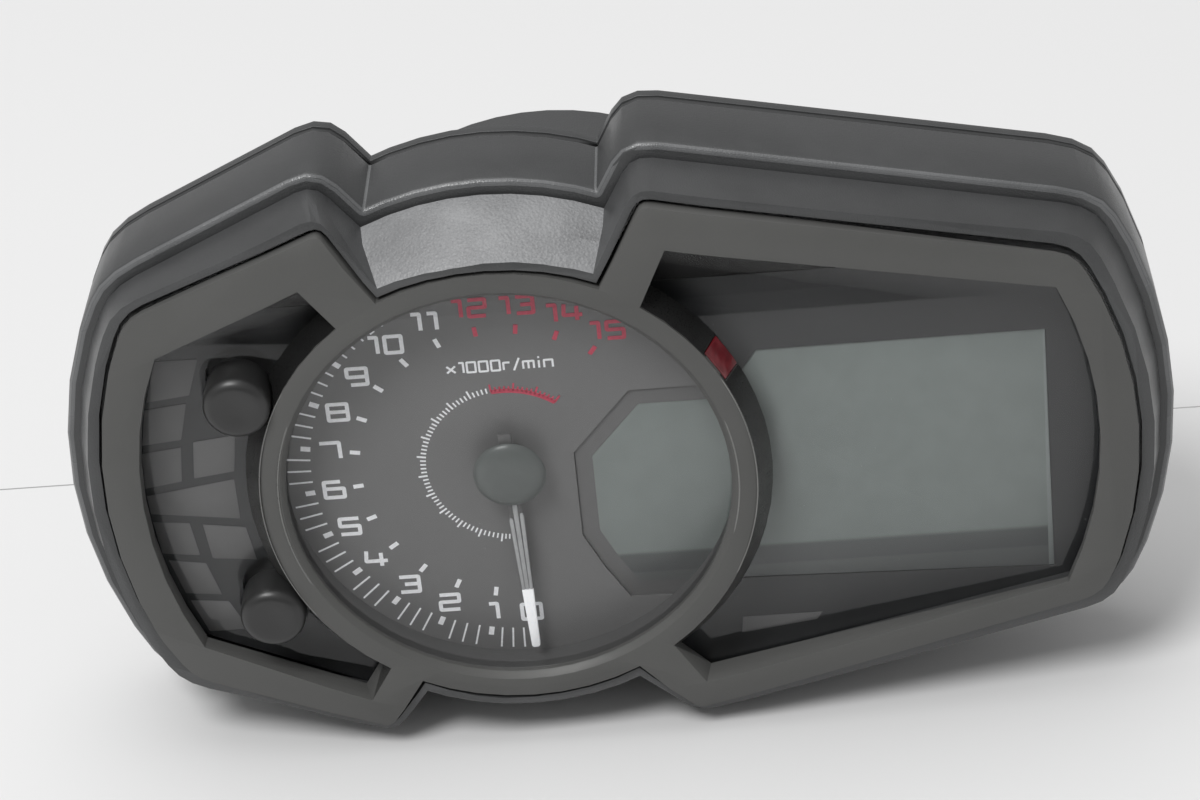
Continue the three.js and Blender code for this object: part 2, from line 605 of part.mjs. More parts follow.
// ---- assembly -----------------------------------------------------------------------------------
const finish = (color, roughness, metalness = 0, opacity = 1) => new THREE.MeshStandardMaterial({
  color, roughness, metalness, opacity, transparent: opacity < 1,
});
const grainBlack = finish(0x2d2e30, 0.62);
const satinGrey = finish(0x3d3f3d, 0.45);
const clear = finish(0xdfe4e4, 0.05, 0, 0.3);
const printBlack = finish(0x17181a, 0.5);
const displayTone = finish(0x76807c, 0.3);
const whitePlastic = finish(0xe6e6e2, 0.5);
const rubber = finish(0x1c1c1d, 0.85);
const steel = finish(0xb4b6b8, 0.35, 1);
const brass = finish(0xc8a84e, 0.35, 1);
const boardGreen = finish(0x1d5a35, 0.5);
const red = finish(0x8a1616, 0.3);
const darkGrey = finish(0x3a3b3e, 0.5);

const cluster = new THREE.Group();
const place = (name, solid, material) => {
  const mesh = new THREE.Mesh(toGeometry(solid), material);
  mesh.name = name;
  cluster.add(mesh);
};

place('front_cover', frontCover(), grainBlack);
place('main_housing', mainHousing(), grainBlack);
place('back_cover', backCover(), grainBlack);
place('seal_gasket', sealGasket(), rubber);
place('bezel', bezel(), satinGrey);
place('shift_lamp', shiftLamp(), red);
place('clear_lens', clearLens(), clear);
place('dial_plate', dialPlate(), printBlack);
place('indicator_panel', indicatorPanel(), printBlack);
place('display_mask', displayMask(), printBlack);
place('display_frame', displayFrame(), printBlack);
place('display_glass', displayGlass(), displayTone);
place('backlight_plate', backlightPlate(), whitePlastic);
place('circuit_board', circuitBoard(), boardGreen);
place('main_chip', mainChip(), printBlack);
place('indicator_light_box', lightBox(), whitePlastic);
lampTiles.forEach((tile, i) => place(`indicator_led_${i + 1}`, lampLed(tile), whitePlastic));
place('stepping_motor', steppingMotor(), darkGrey);
place('pointer_shaft', pointerShaft(), steel);
place('pointer_needle', pointerNeedle(), whitePlastic);
place('pointer_cap', pointerCap(), darkGrey);
Object.entries(buttonPlaces).forEach(([name, at]) => {
  place(`${name}_button`, buttonKnob(at), darkGrey);
  place(`${name}_button_boot`, buttonBoot(at), rubber);
  place(`${name}_switch`, switchBody(at), darkGrey);
});
place('connector_shell', connectorShell(), darkGrey);
place('connector_pins', connectorPins(), brass);
boardScrewPlaces.forEach((at, i) => place(`board_screw_${i + 1}`, boardScrew(at), steel));
screwPlaces.forEach((at, i) => place(`case_screw_${i + 1}`, caseScrew(at), steel));
bossPlaces.forEach((at, i) => {
  place(`mount_grommet_${i + 1}`, grommet(at), rubber);
  place(`mount_sleeve_${i + 1}`, sleeve(at), steel);
});
place('breather_cap', breatherCap(), rubber);

// The finished assembly stands with the middle of its footprint on the origin.
const bounds = new THREE.Box3().setFromObject(cluster);
const centre = bounds.getCenter(new THREE.Vector3());
cluster.position.set(-centre.x, -centre.y, -bounds.min.z);

export default cluster;
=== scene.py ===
import json
import math

import bpy
from mathutils import Matrix, Vector

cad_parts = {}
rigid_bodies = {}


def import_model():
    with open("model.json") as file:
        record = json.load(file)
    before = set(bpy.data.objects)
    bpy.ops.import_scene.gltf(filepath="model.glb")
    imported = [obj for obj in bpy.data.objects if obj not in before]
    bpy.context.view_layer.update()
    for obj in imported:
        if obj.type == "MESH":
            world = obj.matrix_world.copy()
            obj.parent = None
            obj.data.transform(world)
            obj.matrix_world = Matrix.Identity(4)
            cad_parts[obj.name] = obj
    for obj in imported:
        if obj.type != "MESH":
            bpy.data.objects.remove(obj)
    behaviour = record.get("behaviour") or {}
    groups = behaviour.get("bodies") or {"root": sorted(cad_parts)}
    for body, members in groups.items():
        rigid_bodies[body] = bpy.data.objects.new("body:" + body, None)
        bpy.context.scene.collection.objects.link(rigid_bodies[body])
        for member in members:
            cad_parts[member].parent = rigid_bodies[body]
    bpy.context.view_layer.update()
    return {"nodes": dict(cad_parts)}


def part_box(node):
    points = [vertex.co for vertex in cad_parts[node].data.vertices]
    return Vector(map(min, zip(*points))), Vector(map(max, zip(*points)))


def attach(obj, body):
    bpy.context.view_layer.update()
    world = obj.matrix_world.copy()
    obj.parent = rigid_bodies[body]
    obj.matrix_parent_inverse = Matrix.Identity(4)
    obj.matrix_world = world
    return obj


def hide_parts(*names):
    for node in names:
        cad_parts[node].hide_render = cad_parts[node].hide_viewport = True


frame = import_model()

# Work space: millimetres about the dial's centre, X to the rider's right, Y into the dash, Z up.
shaftLow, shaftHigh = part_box("pointer_shaft")
dialLow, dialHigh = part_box("dial_plate")
dialCentre = Vector(((shaftLow.x + shaftHigh.x) / 2, dialLow.y, (shaftLow.z + shaftHigh.z) / 2))
toRow = Matrix.Translation(dialCentre) @ Matrix.Scale(0.001, 4)
toWork = toRow.inverted()


def workBox(node):
    low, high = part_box(node)
    return toWork @ low, toWork @ high


# Tools for pieces.
def clearSelection():
    for item in bpy.context.view_layer.objects:
        item.select_set(False)


def makeActive(piece):
    clearSelection()
    piece.select_set(True)
    bpy.context.view_layer.objects.active = piece


def inEditMode(piece, *steps):
    makeActive(piece)
    bpy.ops.object.mode_set(mode="EDIT")
    for step in steps:
        step()
    bpy.ops.object.mode_set(mode="OBJECT")


def selectAll():
    bpy.ops.mesh.select_all(action="SELECT")


def applyModifier(piece, kind, **settings):
    makeActive(piece)
    modifier = piece.modifiers.new(kind.lower(), kind)
    for key, value in settings.items():
        setattr(modifier, key, value)
    bpy.ops.object.modifier_apply(modifier=modifier.name)


def smooth(piece, angle=35):
    makeActive(piece)
    bpy.ops.object.shade_smooth_by_angle(angle=math.radians(angle))


def rounded(piece, width, segments=2, angle=30, edgeSlot=-1, clamped=True):
    applyModifier(piece, "BEVEL", width=width, segments=segments, limit_method="ANGLE", material=edgeSlot,
                  angle_limit=math.radians(angle), use_clamp_overlap=clamped, miter_outer="MITER_ARC")
    smooth(piece)
    return piece


def intoRow(piece):
    piece.data.transform(toRow)
    piece.data.update()
    return piece


def joinPieces(name, pieces):
    clearSelection()
    for piece in pieces:
        piece.select_set(True)
    bpy.context.view_layer.objects.active = pieces[0]
    if len(pieces) > 1:
        bpy.ops.object.join()
    pieces[0].name = name
    pieces[0].data.name = name
    return pieces[0]


def finished(piece, material, body, replaced=()):
    if material:
        piece.data.materials.clear()
        piece.data.materials.append(material)
    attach(piece, body)
    if replaced:
        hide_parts(*replaced)
    return piece


def outline(name, points, depth, closed=True):
    # A ring of vertices moved onto the outline, [x, z] at one depth.
    clearSelection()
    fill = "NGON" if closed else "NOTHING"
    bpy.ops.mesh.primitive_circle_add(vertices=len(points), radius=1, fill_type=fill)
    piece = bpy.context.active_object
    piece.name = name
    for vertex, (x, z) in zip(piece.data.vertices, points):
        vertex.co = (x, depth, z)
    piece.data.update()
    return piece


def slab(name, points, front, back):
    piece = outline(name, points, front)
    inEditMode(piece, selectAll, lambda: bpy.ops.mesh.extrude_region_move(
        TRANSFORM_OT_translate={"value": (0, back - front, 0)}),
        selectAll, lambda: bpy.ops.mesh.normals_make_consistent(inside=False))
    return piece


def lathe(name, profile, centre=(0, 0), steps=96):
    # profile: [radius, depth] points, from axis to axis or a closed section away from the axis.
    piece = outline(name, [(radius, 0) for radius, depth in profile], 0, closed=False)
    for vertex, (radius, depth) in zip(piece.data.vertices, profile):
        vertex.co = (radius, depth, 0)
    if profile[0][0] == 0:
        # The edge along the axis goes.
        inEditMode(piece, lambda: bpy.ops.mesh.select_all(action="DESELECT"),
                   lambda: bpy.ops.mesh.select_mode(type="EDGE"))
        for edge in piece.data.edges:
            edge.select = set(edge.vertices) == {0, len(profile) - 1}
        inEditMode(piece, lambda: bpy.ops.mesh.delete(type="EDGE_FACE"),
                   lambda: bpy.ops.mesh.select_mode(type="VERT"))
    inEditMode(piece, selectAll,
               lambda: bpy.ops.mesh.spin(steps=steps, angle=2 * math.pi, center=(0, 0, 0), axis=(0, 1, 0)),
               selectAll, lambda: bpy.ops.mesh.remove_doubles(threshold=0.0005),
               lambda: bpy.ops.mesh.normals_make_consistent(inside=False))
    piece.data.transform(Matrix.Translation((centre[0], 0, centre[1])))
    return piece


def refined(node, width, angle=30, segments=2, surfaces=(), clamped=True):
    # A merged copy of the CAD solid with its edges rounded; of two surfaces the second goes on the rounded
    # edges as a painted edge highlight.
    source = frame["nodes"][node]
    piece = source.copy()
    piece.data = source.data.copy()
    piece.name = node + "_finish"
    piece.parent = None
    for key in list(piece.keys()):
        del piece[key]
    bpy.context.scene.collection.objects.link(piece)
    piece.data.transform(toWork)
    inEditMode(piece, selectAll, lambda: bpy.ops.mesh.remove_doubles(threshold=0.002 if clamped else 0.06),
               lambda: bpy.ops.mesh.dissolve_limited(angle_limit=math.radians(0.6)))
    if surfaces:
        piece.data.materials.clear()
        for surface in surfaces:
            piece.data.materials.append(surface)
    rounded(piece, width, segments, angle, 1 if surfaces else -1, clamped)
    return intoRow(piece)


# Tools for materials.
class Value:
    def __init__(self, paint, socket):
        self.paint = paint
        self.socket = socket

    def combine(self, operation, first, second):
        return self.paint.node("ShaderNodeMath", {"operation": operation}, {0: first, 1: second})

    def __add__(self, other):
        return self.combine("ADD", self, other)

    __radd__ = __add__

    def __sub__(self, other):
        return self.combine("SUBTRACT", self, other)

    def __rsub__(self, other):
        return self.combine("SUBTRACT", other, self)

    def __mul__(self, other):
        return self.combine("MULTIPLY", self, other)

    __rmul__ = __mul__

    def __gt__(self, other):
        return self.combine("GREATER_THAN", self, other)

    def __lt__(self, other):
        return self.combine("LESS_THAN", self, other)


class Paint:
    def __init__(self, name):
        self.material = bpy.data.materials.new(name)
        self.material.use_nodes = True
        self.tree = self.material.node_tree
        self.tree.nodes.clear()

    def node(self, kind, settings=None, inputs=None, out=0):
        node = self.tree.nodes.new(kind)
        for key, value in (settings or {}).items():
            setattr(node, key, value)
        for key, value in (inputs or {}).items():
            if isinstance(value, Value):
                self.tree.links.new(value.socket, node.inputs[key])
            else:
                node.inputs[key].default_value = value
        return Value(self, node.outputs[out]) if len(node.outputs) else node

    def place(self):
        return self.node("ShaderNodeTexCoord", out=3)

    def axis(self, index):
        return self.node("ShaderNodeSeparateXYZ", {}, {0: self.place()}, out=index)

    def noise(self, scale, detail=3, roughness=0.55):
        return self.node("ShaderNodeTexNoise", {},
                         {"Vector": self.place(), "Scale": scale, "Detail": detail, "Roughness": roughness})

    def cells(self, scale):
        return self.node("ShaderNodeTexVoronoi", {"feature": "F1"}, {"Vector": self.place(), "Scale": scale})

    def between(self, value, low, high, toLow=0.0, toHigh=1.0):
        return self.node("ShaderNodeMapRange", {"interpolation_type": "SMOOTHSTEP"},
                         {0: value, 1: low, 2: high, 3: toLow, 4: toHigh})

    def mix(self, factor, first, second):
        return self.node("ShaderNodeMix", {"data_type": "RGBA", "blend_type": "MIX"},
                         {0: factor, 6: first, 7: second}, out=2)

    def bump(self, height, distance):
        return self.node("ShaderNodeBump", {}, {"Height": height, "Distance": distance, "Strength": 1.0})

    def wear(self, low=0.60, high=0.72):
        # Exposed edges, from the surface's own convexity: used for edge wear, and in the moulded plastics
        # also as a painted highlight along the edges.
        point = self.node("ShaderNodeNewGeometry", out=7)
        return self.between(point, low, high)

    def shade(self, **inputs):
        names = {key.replace("_", " "): value for key, value in inputs.items()}
        return self.node("ShaderNodeBsdfPrincipled", {}, names)

    def done(self, shader):
        self.node("ShaderNodeOutputMaterial", {}, {0: shader})
        return self.material


def grey(level, tint=(1, 1, 1)):
    return (level * tint[0], level * tint[1], level * tint[2], 1)


def mouldedPlastic(name, look):
    paint = Paint(name)
    grain = paint.cells(look["grainScale"])
    fine = paint.noise(look["grainScale"] * 1.7, 4, 0.6)
    cloud = paint.noise(look["cloudScale"], 4, 0.55)
    height = grain * 0.7 + fine * 0.6
    dark, light = grey(look["dark"], look["tint"]), grey(look["light"], look["tint"])
    colour = paint.mix(paint.between(cloud * 0.6 + fine * 0.4, 0.35, 0.65), dark, light)
    # Convex edges turn towards the lighter edge colour: partly edge wear, partly a painted edge highlight.
    colour = paint.mix(paint.wear() * look["wear"], colour, grey(look["edge"], look["tint"]))
    roughness = paint.between(cloud, 0.3, 0.7, look["roughness"] - 0.05, look["roughness"] + 0.06)
    return paint.done(paint.shade(Base_Color=colour, Roughness=roughness,
                                  Metallic=look.get("metallic", 0.0), IOR=look.get("ior", 1.5),
                                  Normal=paint.bump(height, look["grainDepth"])))


def metal(name, colour, roughness, scratch=700):
    paint = Paint(name)
    fine = paint.noise(scratch, 4, 0.6)
    stain = paint.noise(scratch / 8, 3)
    dull = tuple(0.72 * c for c in colour[:3]) + (1,)
    tone = paint.mix(paint.between(stain, 0.35, 0.7), colour, dull)
    tone = paint.mix(paint.wear() * 0.5, tone, (0.8, 0.8, 0.8, 1))
    return paint.done(paint.shade(Base_Color=tone, Metallic=1.0,
                                  Roughness=paint.between(fine, 0.3, 0.7, roughness, roughness + 0.15),
                                  Normal=paint.bump(fine, 0.000015)))


def paintNode(node, material):
    frame["nodes"][node].data.materials.clear()
    frame["nodes"][node].data.materials.append(material)


# Camera and stage.
camera = {
    "place": (56.038, -573.286, 359.257), "right": (0.99599, 0.01156, -0.08876),
    "up": (0.06988, 0.51928, 0.85174), "lens": 105.51,
}
stageLook = {
    "floor": 0.80, "floorSize": 8.0, "sky": 0.9, "skyStrength": 0.45, "cardPlace": (0, -1.5, 0.0),
    "cardWidth": 2.4, "cardHeight": 0.5, "cardLevel": 0.012, "foldBehind": 0.079, "foldHigh": 0.0003,
    "lights": {
        "key": {"power": 62.0, "size": 1.2, "place": (-0.9, -1.6, 2.7)},
        "top": {"power": 20.0, "size": 2.2, "place": (-0.3, 0.2, 2.7)},
    },
}


def makeCamera():
    data = bpy.data.cameras.new("camera")
    data.lens = camera["lens"]
    data.sensor_width = 36
    data.clip_start = 0.01
    item = bpy.data.objects.new("camera", data)
    bpy.context.scene.collection.objects.link(item)
    right, up = Vector(camera["right"]), Vector(camera["up"])
    back = right.cross(up)
    turn = Matrix((right, up, back)).transposed().to_4x4()
    item.matrix_world = Matrix.Translation(toRow @ Vector(camera["place"])) @ turn
    bpy.context.scene.camera = item


def makeStage():
    size = stageLook["floorSize"]
    clearSelection()
    bpy.ops.mesh.primitive_plane_add(size=size, location=(0, 0, 0))
    floor = bpy.context.active_object
    floor.name = "studio_floor"
    # The paper is folded up a hair behind the part.
    inEditMode(floor, selectAll, lambda: bpy.ops.mesh.bisect(
        plane_co=(0, stageLook["foldBehind"], 0), plane_no=(0, 1, 0)))
    raised = floor.copy()
    raised.data = floor.data.copy()
    raised.name = "studio_fold"
    bpy.context.scene.collection.objects.link(raised)
    for sheet, far, high in ((floor, -size, 0), (raised, size, stageLook["foldHigh"])):
        for vertex in sheet.data.vertices:
            if (vertex.co.y - stageLook["foldBehind"]) * far < 0:
                vertex.co.y = stageLook["foldBehind"]
            vertex.co.z = high
        sheet.data.update()
    paint = Paint("studioPaper")
    tone = paint.between(paint.noise(3.0, 2), 0.3, 0.7, 0.98, 1.0)
    base = grey(stageLook["floor"])
    colour = paint.mix(tone, grey(stageLook["floor"] * 0.97), base)
    paper = paint.done(paint.shade(Base_Color=colour, Roughness=0.7, Specular_IOR_Level=0.1))
    floor.data.materials.append(paper)
    raised.data.materials.append(paper)

    # A dark card in front, out of the camera's sight, for the upper lens to mirror.
    bpy.ops.mesh.primitive_grid_add(x_subdivisions=4, y_subdivisions=2, size=1)
    card = bpy.context.active_object
    card.name = "studio_card"
    place = Vector(stageLook["cardPlace"])
    for vertex in card.data.vertices:
        vertex.co = (vertex.co.x * stageLook["cardWidth"], place.y,
                     place.z + (vertex.co.y + 0.5) * stageLook["cardHeight"])
    paint = Paint("studioFelt")
    tone = paint.mix(paint.noise(40, 3), grey(stageLook["cardLevel"] * 0.8), grey(stageLook["cardLevel"]))
    card.data.materials.append(paint.done(paint.shade(Base_Color=tone, Roughness=0.9)))
    card.visible_camera = False

    world = bpy.data.worlds.new("studio")
    world.use_nodes = True
    world.node_tree.nodes["Background"].inputs[0].default_value = grey(stageLook["sky"])
    world.node_tree.nodes["Background"].inputs[1].default_value = stageLook["skyStrength"]
    bpy.context.scene.world = world
    for name, look in stageLook["lights"].items():
        data = bpy.data.lights.new(name, "AREA")
        data.shape = "DISK"
        data.size = look["size"]
        data.energy = look["power"]
        lamp = bpy.data.objects.new(name, data)
        bpy.context.scene.collection.objects.link(lamp)
        lamp.location = look["place"]
        lamp.rotation_euler = Vector(look["place"]).to_track_quat("Z", "Y").to_euler()
    bpy.context.scene.view_settings.view_transform = "Standard"


makeCamera()
makeStage()
print("camera and stage made")

# Case.
caseLook = {
    "dark": 0.050, "light": 0.063, "tint": (0.98, 1.0, 1.02), "edge": 0.15, "wear": 0.15, "roughness": 0.35,
    "grainScale": 3000, "grainDepth": 0.00005, "cloudScale": 60,
}
# Coarser-grained, much lighter copy of the case plastic for the slope above the dial; the extra lightness is
# a painted highlight.
flankLook = {
    "dark": 0.20, "light": 0.31, "tint": (0.99, 1.0, 1.02), "edge": 0.25, "wear": 0.3, "roughness": 0.34,
    "grainScale": 1500, "grainDepth": 0.00016, "cloudScale": 60,
    "centre": -4, "reach": 26, "above": 44, "leanLow": 0.12, "leanHigh": 0.97, "sideLean": 0.6,
}
bezelLook = {
    "dark": 0.070, "light": 0.083, "tint": (1.0, 1.0, 0.97), "edge": 0.24, "wear": 0.15, "roughness": 0.40,
    "grainScale": 5200, "grainDepth": 0.00002, "cloudScale": 30, "metallic": 0.1, "ior": 1.3,
}
sealLook = {
    "dark": 0.030, "light": 0.040, "tint": (0.98, 1.0, 1.02), "edge": 0.05, "wear": 0.2, "roughness": 0.55,
    "grainScale": 3400, "grainDepth": 0.00003, "cloudScale": 70, "swell": 0.38, "squeeze": 0.62,
}
casePlastic = mouldedPlastic("casePlastic", caseLook)
flankGrainAndHighlight = mouldedPlastic("flankGrainAndHighlight", flankLook)
bezelPaint = mouldedPlastic("bezelPaint", bezelLook)


def grainFlank(cover):
    # The slope above the dial has a coarser grain, and its faces that lean up and forward get a much lighter
    # colour as a painted highlight.
    cover.data.materials.append(flankGrainAndHighlight)
    for face in cover.data.polygons:
        middle = toWork @ face.center
        above = abs(middle.x - flankLook["centre"]) < flankLook["reach"] and middle.z > flankLook["above"]
        leans = flankLook["leanLow"] < -face.normal.y < flankLook["leanHigh"]
        if above and leans and abs(face.normal.x) < flankLook["sideLean"]:
            face.material_index = 2


def makeSeal():
    # Squeezed rubber, out nearly to the walls on both sides of the seam.
    seal = refined("seal_gasket", 0.1)
    low, high = workBox("seal_gasket")
    middle = (toRow @ ((low + high) / 2)).y
    inEditMode(seal, selectAll, lambda: bpy.ops.transform.shrink_fatten(value=sealLook["swell"] / 1000))
    for vertex in seal.data.vertices:
        vertex.co.y = middle + (vertex.co.y - middle) * sealLook["squeeze"]
    seal.data.update()
    return seal


# Lighter, glossier copies of the case and bezel plastics for the rounded edges: painted edge highlights.
caseEdgeHighlight = mouldedPlastic("caseEdgeHighlight", caseLook | {"dark": 0.11, "light": 0.15, "roughness": 0.27})
bezelEdgeHighlight = mouldedPlastic("bezelEdgeHighlight", bezelLook | {"dark": 0.20, "light": 0.27, "roughness": 0.3})
# The rounding of each shell's edges, and whether it stops where edges meet.
shellEdges = {"front_cover": (0.3, True), "main_housing": (0.35, False), "back_cover": (0.3, True)}
for node, (width, clamped) in shellEdges.items():
    shell = refined(node, width, 30, 3, (casePlastic, caseEdgeHighlight), clamped)
    finished(shell, None, "case", [node])
grainFlank(bpy.data.objects["front_cover_finish"])
finished(makeSeal(), mouldedPlastic("sealRubber", sealLook), "case", ["seal_gasket"])


# The slope round the dial ring, painted lighter towards the bottom and darker towards the top as painted
# shade.
skirtLook = {
    "low": -12.0, "high": 30.0, "light": 0.040, "dark": 0.006, "tint": (1, 1, 0.96), "inner": 47.62,
    "outer": 50.6, "deepest": -10.0, "leanLow": 0.25, "leanHigh": 0.95,
}


def skirtMaterial():
    paint = Paint("skirtShadePaint")
    high = (paint.axis(2) - dialCentre.z) * 1000
    fine = paint.noise(5200, 4, 0.6)
    # Painted shade: the colour runs from light at the bottom of the ring to dark at the top.
    tone = paint.mix(paint.between(high, skirtLook["low"], skirtLook["high"]),
                     grey(skirtLook["light"], skirtLook["tint"]), grey(skirtLook["dark"]))
    tone = paint.mix(fine * 0.2, tone, grey(skirtLook["light"]))
    return paint.done(paint.shade(Base_Color=tone, Roughness=paint.between(fine, 0.3, 0.7, 0.26, 0.34),
                                  Normal=paint.bump(fine, 0.00001)))


def makeBezel():
    bezel = refined("bezel", 0.24, 30, 2, (bezelPaint, bezelEdgeHighlight))
    finished(bezel, None, "case", ["bezel"])
    bezel.data.materials.append(skirtMaterial())
    for face in bezel.data.polygons:
        middle = toWork @ face.center
        away = math.hypot(middle.x, middle.z)
        leans = skirtLook["leanLow"] < -face.normal.y < skirtLook["leanHigh"]
        if leans and skirtLook["inner"] < away < skirtLook["outer"] and middle.y > skirtLook["deepest"]:
            face.material_index = 2


def makeRingLip(name, radius, wide):
    # A thin lip on the bezel front, in a light paint that is a painted highlight along the ring's edge.
    front = workBox("bezel")[0].y
    lip = lathe(name, [(radius - wide, front + 0.25), (radius - wide * 0.6, front + 0.02),
                       (radius, front), (radius + wide * 0.6, front + 0.02),
                       (radius + wide, front + 0.25), (radius, front + 0.6)], (0, 0), 180)
    smooth(lip, 60)
    return finished(intoRow(lip), lipHighlightPaint, "case")


makeBezel()
# Light, part-metallic paint for the ring lips: a painted highlight.
lipHighlightPaint = mouldedPlastic("lipHighlightPaint", {
    "dark": 0.16, "light": 0.24, "tint": (1.0, 1.0, 0.97), "edge": 0.4, "wear": 0.5, "roughness": 0.3,
    "grainScale": 5200, "grainDepth": 0.00001, "cloudScale": 40, "metallic": 0.6,
})
makeRingLip("ring_lip_highlight_inner", 43.95, 0.2)
makeRingLip("ring_lip_highlight_outer", 47.45, 0.16)
print("case and bezel rounded")

# Lens.
lensLook = {
    "ior": 1.5, "roughness": 0.03, "tint": 0.98, "dust": 0.3, "dustScale": 420, "haze": 0.008, "edge": 0.2,
    "leanGloss": 0.3,
}


def lensMaterial():
    paint = Paint("clearPolycarbonate")
    smear = paint.noise(24, 3)
    clear = paint.node("ShaderNodeBsdfTransparent", {}, {"Color": grey(lensLook["tint"])})
    ripple = paint.bump(paint.noise(90, 2), 0.00004)
    gloss = paint.node("ShaderNodeBsdfGlossy", {}, {"Roughness": lensLook["roughness"], "Normal": ripple})
    dust = paint.node("ShaderNodeBsdfDiffuse", {}, {"Color": grey(0.7)})
    # Only where light enters: the far side of the same wall would mirror far too much.
    entering = 1 - paint.node("ShaderNodeNewGeometry", out=6)
    # The leaning top is anti-glare.
    normal = paint.node("ShaderNodeNewGeometry", out=1)
    lean = paint.between(paint.node("ShaderNodeSeparateXYZ", {}, {0: normal}, out=2), 0.12, 0.25)
    calm = 1 - lean * (1 - lensLook["leanGloss"])
    fresnel = paint.node("ShaderNodeFresnel", {}, {"IOR": lensLook["ior"]}) * entering * calm
    surface = paint.node("ShaderNodeMixShader", {}, {0: fresnel, 1: clear, 2: gloss})
    specks = (paint.cells(lensLook["dustScale"]) < 0.05) * (paint.noise(70, 2) > 0.6)
    film = paint.between(smear, 0.45, 0.8, 0.0, lensLook["haze"]) + specks * lensLook["dust"]
    return paint.done(paint.node("ShaderNodeMixShader", {}, {0: film, 1: surface, 2: dust}))


finished(refined("clear_lens", lensLook["edge"]), lensMaterial(), "case", ["clear_lens"])
print("lens made")

# Dial.
dialLook = {
    "level": 0.145, "front": -0.02, "thick": 0.09, "labelRing": 35.0, "labelShift": 0.2, "digitHigh": 3.55,
    "digitWide": 3.78, "pairWide": 3.15, "oneWide": 1.6, "spacing": 1.5, "stroke": 0.78, "markFrom": 11.21,
    "markStep": 14.70, "zero": -1.2, "redFrom": 12, "last": 15, "arcRadius": 16.4, "arcWidth": 0.85,
    "arcSteps": 24,
}
# Inner radius, outer radius and width of each kind of mark.
markLook = {
    "label": (29.0, 31.0, 0.85), "zero": (38.6, 43.2, 0.4), "whole": (38.6, 40.5, 1.05),
    "quarter": (38.6, 43.2, 0.36), "innerWhole": (16.3, 18.1, 0.34), "innerFifth": (16.3, 17.4, 0.3),
}
unitLook = {
    "text": "x1000r/min", "centre": (0.2, 22.1), "wide": 1.62, "high": 2.2, "width": 0.4, "spacing": 0.7,
    "oneWide": 0.85,
}
letterWidths = {"i": 0.35, "/": 0.7, "r": 0.75, "m": 1.25}
glyphs = {
    "0": [[(0, 0), (0, 1), (1, 1), (1, 0), (0, 0)]],
    "1": [[(0, 1), (1, 1), (1, 0)]],
    "2": [[(0, 1), (1, 1), (1, 0.52), (0, 0.52), (0, 0), (1, 0)]],
    "3": [[(0, 1), (1, 1), (1, 0), (0, 0)], [(0.25, 0.52), (1, 0.52)]],
    "4": [[(0.06, 1), (0, 0.33), (1.12, 0.33)], [(0.8, 0.85), (0.8, 0)]],
    "5": [[(1, 1), (0, 1), (0, 0.52), (1, 0.52), (1, 0), (0, 0)]],
    "6": [[(0.85, 1), (0, 1), (0, 0), (1, 0), (1, 0.56), (0, 0.56)]],
    "7": [[(0, 1), (1, 1), (1, 0)]],
    "8": [[(0, 0), (0, 1), (1, 1), (1, 0), (0, 0)], [(0, 0.52), (1, 0.52)]],
    "9": [[(1, 0.48), (0, 0.48), (0, 1), (1, 1), (1, 0), (0.15, 0)]],
    "x": [[(0, 0.05), (1, 0.7)], [(0, 0.7), (1, 0.05)]],
    "r": [[(0, 0), (0, 0.72), (1, 0.72)]],
    "/": [[(0, -0.1), (1, 1.1)]],
    "m": [[(0, 0), (0, 0.72), (1, 0.72), (1, 0)], [(0.5, 0.7), (0.5, 0)]],
    "i": [[(0.5, 0), (0.5, 0.72)], [(0.5, 0.95), (0.5, 1.12)]],
    "n": [[(0, 0), (0, 0.72), (1, 0.72), (1, 0)]],
}


def softened(path, reach, steps=3):
    # Corners of a stroke turned into small curves.
    if len(path) < 3:
        return path
    isLoop = path[0] == path[-1]
    points = [Vector(at) for at in (path[:-1] if isLoop else path)]
    result = [] if isLoop else [points[0]]
    for i in range(0 if isLoop else 1, len(points) if isLoop else len(points) - 1):
        before, here, after = points[i - 1], points[i], points[(i + 1) % len(points)]
        start = here + (before - here).normalized() * min(reach, (before - here).length * 0.45)
        end = here + (after - here).normalized() * min(reach, (after - here).length * 0.45)
        for k in range(steps + 1):
            t = k / steps
            result.append((1 - t) ** 2 * start + 2 * t * (1 - t) * here + t * t * end)
    result += [result[0]] if isLoop else [points[-1]]
    return result


def strokeSides(path, width):
    points = [Vector(at) for at in path]
    isLoop = (points[0] - points[-1]).length < 1e-6
    left, right = [], []
    last = len(points) - 1
    for i, here in enumerate(points):
        before = points[i - 1] if i else (points[-2] if isLoop else None)
        after = points[i + 1] if i < last else (points[1] if isLoop else None)
        first = (here - before).normalized() if before else (after - here).normalized()
        second = (after - here).normalized() if after else first
        along = (first + second).normalized()
        side = Vector((-along.y, along.x)) * (width / 2 / max(0.5, along.dot(first)))
        left.append(here + side)
        right.append(here - side)
    return left, right


def stroke(name, path, width, lift=0.0):
    # A flat ribbon of quads along the path.
    left, right = strokeSides(path, width)
    parts = []
    for i in range(len(left) - 1):
        parts.append([left[i], left[i + 1], right[i + 1], right[i]])
    clearSelection()
    bpy.ops.mesh.primitive_grid_add(x_subdivisions=1, y_subdivisions=len(parts), size=1)
    piece = bpy.context.active_object
    piece.name = name
    front = dialLook["front"] - lift
    for i in range(len(left)):
        piece.data.vertices[2 * i].co = (left[i].x, front, left[i].y)
        piece.data.vertices[2 * i + 1].co = (right[i].x, front, right[i].y)
    piece.data.update()
    inEditMode(piece, selectAll, lambda: bpy.ops.mesh.extrude_region_move(
        TRANSFORM_OT_translate={"value": (0, -dialLook["thick"], 0)}),
        selectAll, lambda: bpy.ops.mesh.remove_doubles(threshold=0.0005),
        lambda: bpy.ops.mesh.normals_make_consistent(inside=False))
    return piece


